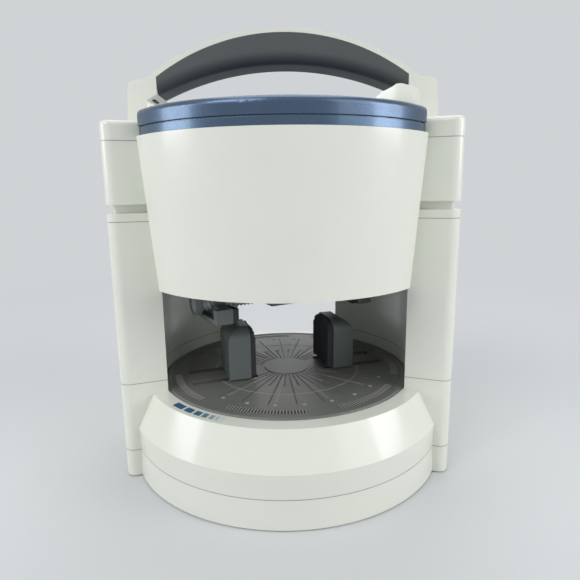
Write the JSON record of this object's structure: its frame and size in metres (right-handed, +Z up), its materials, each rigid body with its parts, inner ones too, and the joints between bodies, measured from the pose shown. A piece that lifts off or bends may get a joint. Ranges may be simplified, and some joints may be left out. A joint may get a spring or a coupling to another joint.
{
  "type": "electric jar opener",
  "caption": "Free-standing kitchen appliance that grips a jar between centring jaws on a powered turntable and holds its lid in jaws under a sliding head with a carrying handle.",
  "frame": {"origin": "centre of the turntable's axis on the table that the feet stand on", "axes": "+Z up along the turntable's axis; the user stands at -Y, so +X is at the right in the picture"},
  "size_m": [0.207, 0.1967, 0.2792],
  "materials": {
    "gloss_white": "satin",
    "blue_metallic": "metallic",
    "dark_grey": "satin",
    "black_rubber": "matt",
    "steel": "satin",
    "nylon": "satin",
    "board_green": "satin"
  },
  "bodies": {
    "base": {"base_pan": "gloss_white", "base_shell": "gloss_white", "rubber_feet": "black_rubber", "base_screws": "steel", "cord_inlet": "dark_grey", "column_front_left": "gloss_white", "column_front_right": "gloss_white", "column_rear_left": "gloss_white", "column_rear_right": "gloss_white", "collar_left": "gloss_white", "collar_right": "gloss_white", "gear_plate": "steel", "base_motor": "steel", "table_bearing": "nylon"},
    "turntable": {"turntable_disc": "dark_grey", "jaw_carrier": "dark_grey", "drive_gear": "nylon", "carrier_screws": "steel"},
    "double_gear": {"double_gear": "nylon"},
    "motor_pinion": {"motor_pinion": "nylon"},
    "rack_pinion": {"rack_pinion": "nylon"},
    "jar_jaw_right": {"jar_jaw_right": "dark_grey", "jar_pad_right": "black_rubber", "jar_rack_right": "steel"},
    "jar_jaw_left": {"jar_jaw_left": "dark_grey", "jar_pad_left": "black_rubber", "jar_rack_left": "steel"},
    "head": {"head_shell": "gloss_white", "side_block_left": "gloss_white", "side_block_right": "gloss_white", "back_cover": "gloss_white", "block_cap_left": "gloss_white", "block_cap_right": "gloss_white", "blue_band": "blue_metallic", "band_ends": "dark_grey", "lid": "blue_metallic", "head_floor": "dark_grey", "slide_tube_left": "gloss_white", "slide_tube_right": "gloss_white", "handle": "gloss_white", "handle_grip": "dark_grey", "head_screws": "steel", "head_motor": "steel", "screw_housing": "dark_grey", "control_board": "board_green", "start_switch": "dark_grey", "button_spring": "steel"},
    "lid_screw": {"lid_screw": "steel"},
    "idler_gear": {"idler_gear": "nylon"},
    "head_motor_pinion": {"head_motor_pinion": "nylon"},
    "lid_jaw_right": {"lid_jaw_right": "dark_grey", "lid_pad_right": "black_rubber"},
    "lid_jaw_left": {"lid_jaw_left": "dark_grey", "lid_pad_left": "black_rubber"},
    "start_button": {"start_button": "gloss_white"}
  },
  "joints": [
    {"name": "turntable_spin", "type": "hinge", "parent": "base", "child": "turntable", "pos_m": [0, 0, 0], "axis": [0, 0, 1], "continuous": true},
    {"name": "double_gear_spin", "type": "hinge", "parent": "base", "child": "double_gear", "pos_m": [0, 0.048, 0], "axis": [0, 0, 1], "continuous": true},
    {"name": "motor_pinion_spin", "type": "hinge", "parent": "base", "child": "motor_pinion", "pos_m": [0.03151, 0.04244, 0], "axis": [0, 0, 1], "continuous": true},
    {"name": "jar_jaw_right_slide", "type": "slide", "parent": "turntable", "child": "jar_jaw_right", "axis": [0.9563, 0.2924, 0], "range_m": [-0.005, 0.026]},
    {"name": "jar_jaw_left_slide", "type": "slide", "parent": "turntable", "child": "jar_jaw_left", "axis": [-0.9563, -0.2924, 0], "range_m": [-0.005, 0.026]},
    {"name": "rack_pinion_spin", "type": "hinge", "parent": "turntable", "child": "rack_pinion", "pos_m": [0, 0, 0], "axis": [0, 0, 1], "range_deg": [-160, 40]},
    {"name": "head_slide", "type": "slide", "parent": "base", "child": "head", "axis": [0, 0, 1], "range_m": [0, 0.09]},
    {"name": "lid_screw_spin", "type": "hinge", "parent": "head", "child": "lid_screw", "pos_m": [0, 0, 0.1085], "axis": [0.866, 0.5, 0], "range_deg": [-905, 320]},
    {"name": "idler_spin", "type": "hinge", "parent": "head", "child": "idler_gear", "pos_m": [0, 0, 0.1335], "axis": [0.866, 0.5, 0], "range_deg": [-140, 360]},
    {"name": "head_motor_spin", "type": "hinge", "parent": "head", "child": "head_motor_pinion", "pos_m": [0, 0, 0.1585], "axis": [0.866, 0.5, 0], "range_deg": [-910, 320]},
    {"name": "lid_jaw_right_slide", "type": "slide", "parent": "head", "child": "lid_jaw_right", "axis": [0.866, 0.5, 0], "range_m": [-0.02, 0.007]},
    {"name": "lid_jaw_left_slide", "type": "slide", "parent": "head", "child": "lid_jaw_left", "axis": [-0.866, -0.5, 0], "range_m": [-0.02, 0.007]},
    {"name": "start_button_press", "type": "slide", "parent": "head", "child": "start_button", "axis": [0, 0, -1], "range_m": [0, 0.003], "stiffness_N_per_m": 250, "springref_m": -0.0025, "deforming": ["button_spring"]}
  ],
  "couplings": [
    {"joint": "double_gear_spin", "follows": "turntable_spin", "ratio": -5},
    {"joint": "motor_pinion_spin", "follows": "turntable_spin", "ratio": 15},
    {"joint": "jar_jaw_left_slide", "follows": "jar_jaw_right_slide", "ratio": 1},
    {"joint": "rack_pinion_spin", "follows": "jar_jaw_right_slide", "rad_per_m": -100},
    {"joint": "lid_jaw_left_slide", "follows": "lid_jaw_right_slide", "ratio": 1},
    {"joint": "lid_screw_spin", "follows": "lid_jaw_right_slide", "rad_per_m": 785.4},
    {"joint": "idler_spin", "follows": "lid_jaw_right_slide", "rad_per_m": -305.43},
    {"joint": "head_motor_spin", "follows": "lid_jaw_right_slide", "rad_per_m": 785.4}
  ]
}
